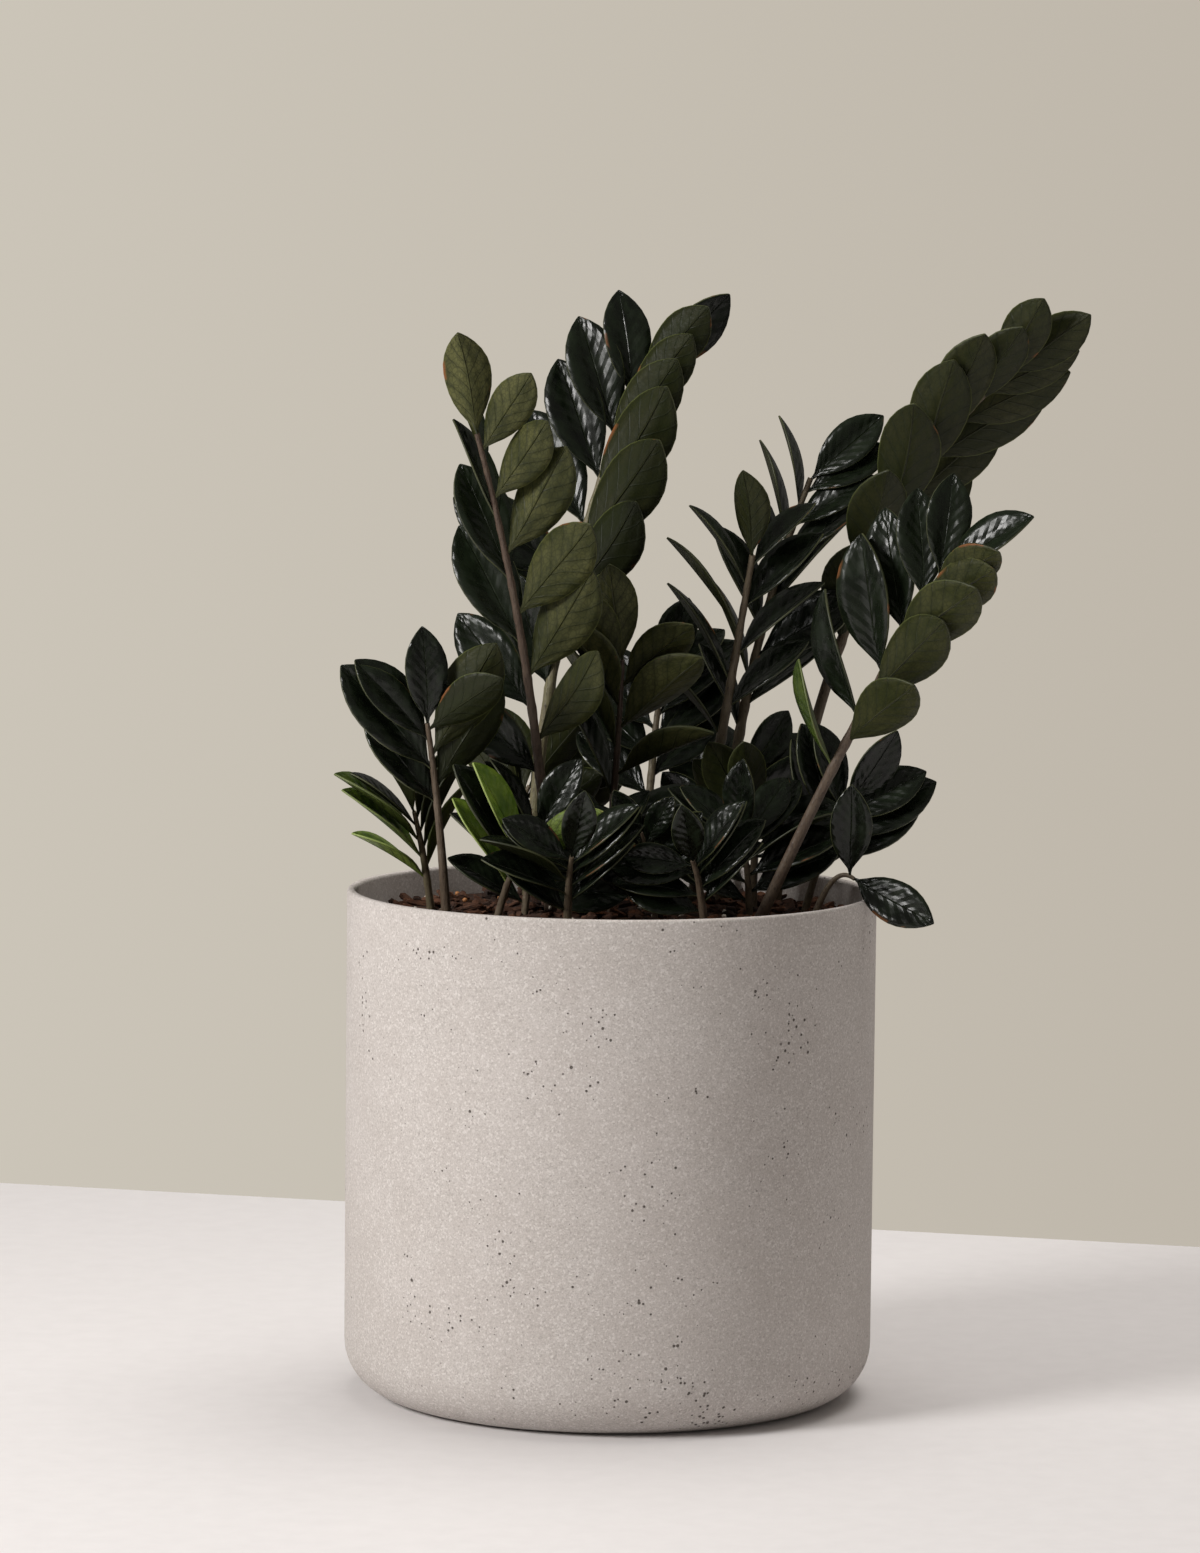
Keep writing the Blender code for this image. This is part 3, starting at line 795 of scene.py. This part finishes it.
def dry_edge(tree, off, own):
    """1 on the few short stretches of the edge that have dried, 0 elsewhere."""
    dry = between(tree, noise(tree, own, 3.5, 2.0), 0.655, 0.69)
    return sums(tree, "MULTIPLY", dry, between(tree, off, 0.86, 0.97))


print("leaflets to paint:", len(lengths))

# %% Upper side
upper, tree, skin = new_finish("leaflet_upper", Roughness=0.3)
skin.inputs["Specular IOR Level"].default_value = 0.30
v, off, own = blade_map(tree)
tone, youth = tint_of(tree, "tone"), tint_of(tree, "youth")
vein = side_veins(tree, v, off, own, 11.0)
blotch = noise(tree, own, 7.0, 3.0)
rib = between(tree, off, 0.035, 0.0)
hue = mixed(tree, tone, (0.0028, 0.0036, 0.0024, 1), (0.0100, 0.0150, 0.0072, 1))
hue = mixed(tree, between(tree, blotch, 0.4, 0.7, 0.0, 0.5), hue, (0.014, 0.022, 0.010, 1))
patchy = between(tree, blotch, 0.35, 0.65)
fresh = mixed(tree, patchy, (0.075, 0.140, 0.016, 1), (0.170, 0.250, 0.030, 1))
hue = mixed(tree, youth, hue, fresh)
hue = mixed(tree, between(tree, vein, 0.08, 0.0, 0.0, 0.12), hue, (0.018, 0.026, 0.011, 1))
hue = mixed(tree, sums(tree, "MULTIPLY", rib, 0.3), hue, (0.030, 0.040, 0.015, 1))
hue = mixed(tree, between(tree, off, 0.965, 0.995, 0.0, 0.4), hue, (0.030, 0.036, 0.013, 1))
hue = mixed(tree, dry_edge(tree, off, own), hue, (0.150, 0.060, 0.022, 1))
tree.links.new(hue, skin.inputs["Base Color"])
tree.links.new(between(tree, blotch, 0.3, 0.7, 0.20, 0.34), skin.inputs["Roughness"])
pucker = noise(tree, own, 6.0, 2.0, 0.5)
height = sums(tree, "ADD", sums(tree, "MULTIPLY", vein, 0.45), sums(tree, "MULTIPLY", pucker, 1.3))
height = sums(tree, "SUBTRACT", height, sums(tree, "MULTIPLY", rib, 0.5))
relief(tree, skin, height, 0.0009)
print("upper side has", len(tree.nodes), "nodes")

# %% Underside
under, tree, skin = new_finish("leaflet_underside", Roughness=0.46)
skin.inputs["Specular IOR Level"].default_value = 0.16
v, off, own = blade_map(tree)
tone, youth = tint_of(tree, "tone"), tint_of(tree, "youth")
vein = side_veins(tree, v, off, own, 9.0)
net = cells(tree, own, 26.0, "DISTANCE_TO_EDGE")
cloud = noise(tree, own, 4.0, 3.0)
rib = between(tree, off, 0.045, 0.0)
hue = mixed(tree, tone, (0.0070, 0.0086, 0.0032, 1), (0.108, 0.108, 0.038, 1))
hue = mixed(tree, between(tree, cloud, 0.38, 0.62, 0.0, 0.62), hue, (0.016, 0.021, 0.004, 1))
hue = mixed(tree, between(tree, v, 0.45, 0.0, 0.0, 0.5), hue, (0.012, 0.014, 0.005, 1))
patchy = between(tree, cloud, 0.35, 0.65)
fresh = mixed(tree, patchy, (0.110, 0.185, 0.025, 1), (0.230, 0.310, 0.060, 1))
hue = mixed(tree, youth, hue, fresh)
hue = mixed(tree, between(tree, net, 0.15, 0.0, 0.0, 0.50), hue, (0.014, 0.018, 0.007, 1))
hue = mixed(tree, between(tree, vein, 0.34, 0.0, 0.0, 0.30), hue, (0.012, 0.015, 0.006, 1))
hue = mixed(tree, between(tree, vein, 0.06, 0.0, 0.0, 0.45), hue, (0.014, 0.019, 0.009, 1))
hue = mixed(tree, between(tree, rib, 0.3, 1.0, 0.0, 0.50), hue, (0.060, 0.064, 0.030, 1))
hue = mixed(tree, between(tree, off, 0.955, 0.99, 0.0, 0.8), hue, (0.095, 0.108, 0.034, 1))
hue = mixed(tree, dry_edge(tree, off, own), hue, (0.210, 0.082, 0.030, 1))
tree.links.new(hue, skin.inputs["Base Color"])
height = sums(tree, "ADD", sums(tree, "MULTIPLY", between(tree, vein, 0.08, 0.0), 0.15),
              sums(tree, "MULTIPLY", rib, 0.9))
height = sums(tree, "ADD", height, sums(tree, "MULTIPLY", noise(tree, own, 12.0, 3.0), 0.6))
relief(tree, skin, height, 0.0011)
print("underside has", len(tree.nodes), "nodes")

# %% Margin
margin, tree, skin = new_finish("leaflet_margin", Roughness=0.5)
_, _, own = blade_map(tree)
dry = noise(tree, own, 3.0, 2.0)
paler = between(tree, dry, 0.35, 0.6)
hue = mixed(tree, paler, (0.018, 0.022, 0.008, 1), (0.055, 0.060, 0.022, 1))
hue = mixed(tree, between(tree, dry, 0.70, 0.74), hue, (0.230, 0.090, 0.035, 1))
hue = mixed(tree, tint_of(tree, "youth"), hue, (0.260, 0.330, 0.090, 1))
tree.links.new(hue, skin.inputs["Base Color"])
relief(tree, skin, dry, 0.0003)
print("margin has", len(tree.nodes), "nodes")

# %% [markdown]
# ## Growing the leaflets
# Each leaflet is a copy of one of the five blades, sized, turned and moved to its place in
# the frame. TONES says how pale a leaf's undersides are, and YOUNG which of its leaflets,
# counted from the lowest, are still fresh green. The leaflets of one compound leaf are then
# joined in one piece, because they are one living part and are painted together.

# %% Growing
TONES = {"compound_leaf_01": 0.82, "compound_leaf_02": 0.72, "compound_leaf_03": 0.06,
         "compound_leaf_04": 0.42, "compound_leaf_05": 0.18, "compound_leaf_06": 0.10,
         "compound_leaf_07": 0.30, "compound_leaf_08": 0.08, "compound_leaf_13": 0.10}
YOUNG = {"compound_leaf_04": {0: 0.3}, "compound_leaf_10": {0: 1.0, 4: 1.0, 6: 0.8},
         "compound_leaf_11": {0: 1.0, 1: 0.3, 2: 0.5, 4: 0.3}}


def grow(name):
    """All the leaflets of one compound leaf, as one piece."""
    grown = []
    for n, (base, forward, up, length) in enumerate(fronds[name]):
        leaflet = twin(random.choice(blades), f"{name}_{n}")
        turn = Matrix((forward.cross(up), forward, up)).transposed().to_4x4()
        leaflet.matrix_world = Matrix.Translation(base) @ turn @ Matrix.Scale(length / LENGTH, 4)
        rank = 0.35 + 0.65 * n / (len(fronds[name]) - 1)       # the lowest leaflets are the darkest
        values = {"shift": random.random(), "tone": TONES.get(name, 0.03) * rank + 0.22 * random.random(),
                  "youth": YOUNG.get(name, {}).get(n, 0.0)}
        for key, value in values.items():
            kept = leaflet.data.attributes.new(key, "FLOAT", "POINT")
            kept.data.foreach_set("value", [value] * len(leaflet.data.vertices))
        for slot, finish in enumerate((upper, under, margin)):
            leaflet.data.materials[slot] = finish
        grown.append(leaflet)
    whole = joined(grown, name + "_leaflets")
    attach(whole, "root")
    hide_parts(name)
    return whole


foliage = {name: grow(name) for name in fronds}
for blade in blades:
    bpy.data.objects.remove(blade)
print("foliage:", sum(len(f.data.polygons) for f in foliage.values()), "faces in", len(foliage), "pieces")

# %% [markdown]
# ## The table, the light and the air
# A plain pale table stands before a warm grey wall, which is only the world's colour, with
# painted shade that darkens it to the right. One soft lamp, high on the left and in front, is
# the window. A wider one overhead is the pale ceiling that the window lights, and a dim light from all
# round is what the walls return.

# %% Table
bpy.ops.mesh.primitive_plane_add(size=2)
table = only(bpy.context.object)
table.name = "table_top"
CORNERS = ((-2.6, -2.2, 0), (2.6, -2.2, 0), (-2.6, 1.307, 0), (2.6, -0.035, 0))
for corner, place in zip(table.data.vertices, CORNERS):
    corner.co = place
paint, tree, skin = new_finish("table_paint", Roughness=0.6)
dust = noise(tree, own_place(tree), 60.0, 4.0)
white = mixed(tree, between(tree, dust, 0.3, 0.7), (0.80, 0.775, 0.775, 1), (0.83, 0.805, 0.805, 1))
tree.links.new(white, skin.inputs["Base Color"])
table.data.materials.append(paint)
print("table top is", [round(side, 2) for side in table.dimensions], "m")


# %% Lamps
def soft_lamp(name, place, aim, size, power, colour):
    """A round lamp at a place, turned to its aim."""
    bpy.ops.object.light_add(type="AREA", location=place)
    lamp = bpy.context.object
    lamp.name = name
    lamp.data.shape = "DISK"
    lamp.data.size = size
    lamp.data.energy = power
    lamp.data.color = colour
    lamp.rotation_euler = (Vector(aim) - lamp.location).to_track_quat("-Z", "Y").to_euler()
    print(name, "is", round(lamp.location.length, 2), "m away")
    return lamp


soft_lamp("window_left", (-2.17, -1.48, 1.52), (0, 0, 0.3), 1.0, 69, (1.0, 0.985, 0.965))
bounce = soft_lamp("ceiling_bounce", (0.42, 0.45, 2.40), (0.1, 0.15, 0), 1.9, 39, (1.0, 0.96, 0.92))
bounce.visible_glossy = False       # a ceiling is too dim to show as a sheen on the leaves

# %% Wall and air
world = bpy.data.worlds.new("studio_air")
bpy.context.scene.world = world
world.use_nodes = True
tree = world.node_tree
tree.nodes.clear()
gaze = tree.nodes.new("ShaderNodeTexCoord").outputs["Generated"]
painted_shade_to_the_right = between(tree, put(tree, "ShaderNodeSeparateXYZ", {0: gaze}).outputs[0], -0.10, 0.10)
# Painted shade: the wall seen behind the planter is painted darker to the right, away from the window.
wall = mixed(tree, painted_shade_to_the_right, (0.597, 0.554, 0.479, 1), (0.521, 0.476, 0.407, 1))
seen = put(tree, "ShaderNodeBackground", {"Color": wall, "Strength": 1.0}).outputs[0]
felt = put(tree, "ShaderNodeBackground", {"Color": (1.0, 0.95, 0.88, 1), "Strength": 0.19}).outputs[0]
ray = tree.nodes.new("ShaderNodeLightPath").outputs["Is Camera Ray"]
both = put(tree, "ShaderNodeMixShader", {0: ray, 1: felt, 2: seen}).outputs[0]
put(tree, "ShaderNodeOutputWorld", {0: both})
print("studio air has", len(tree.nodes), "nodes")
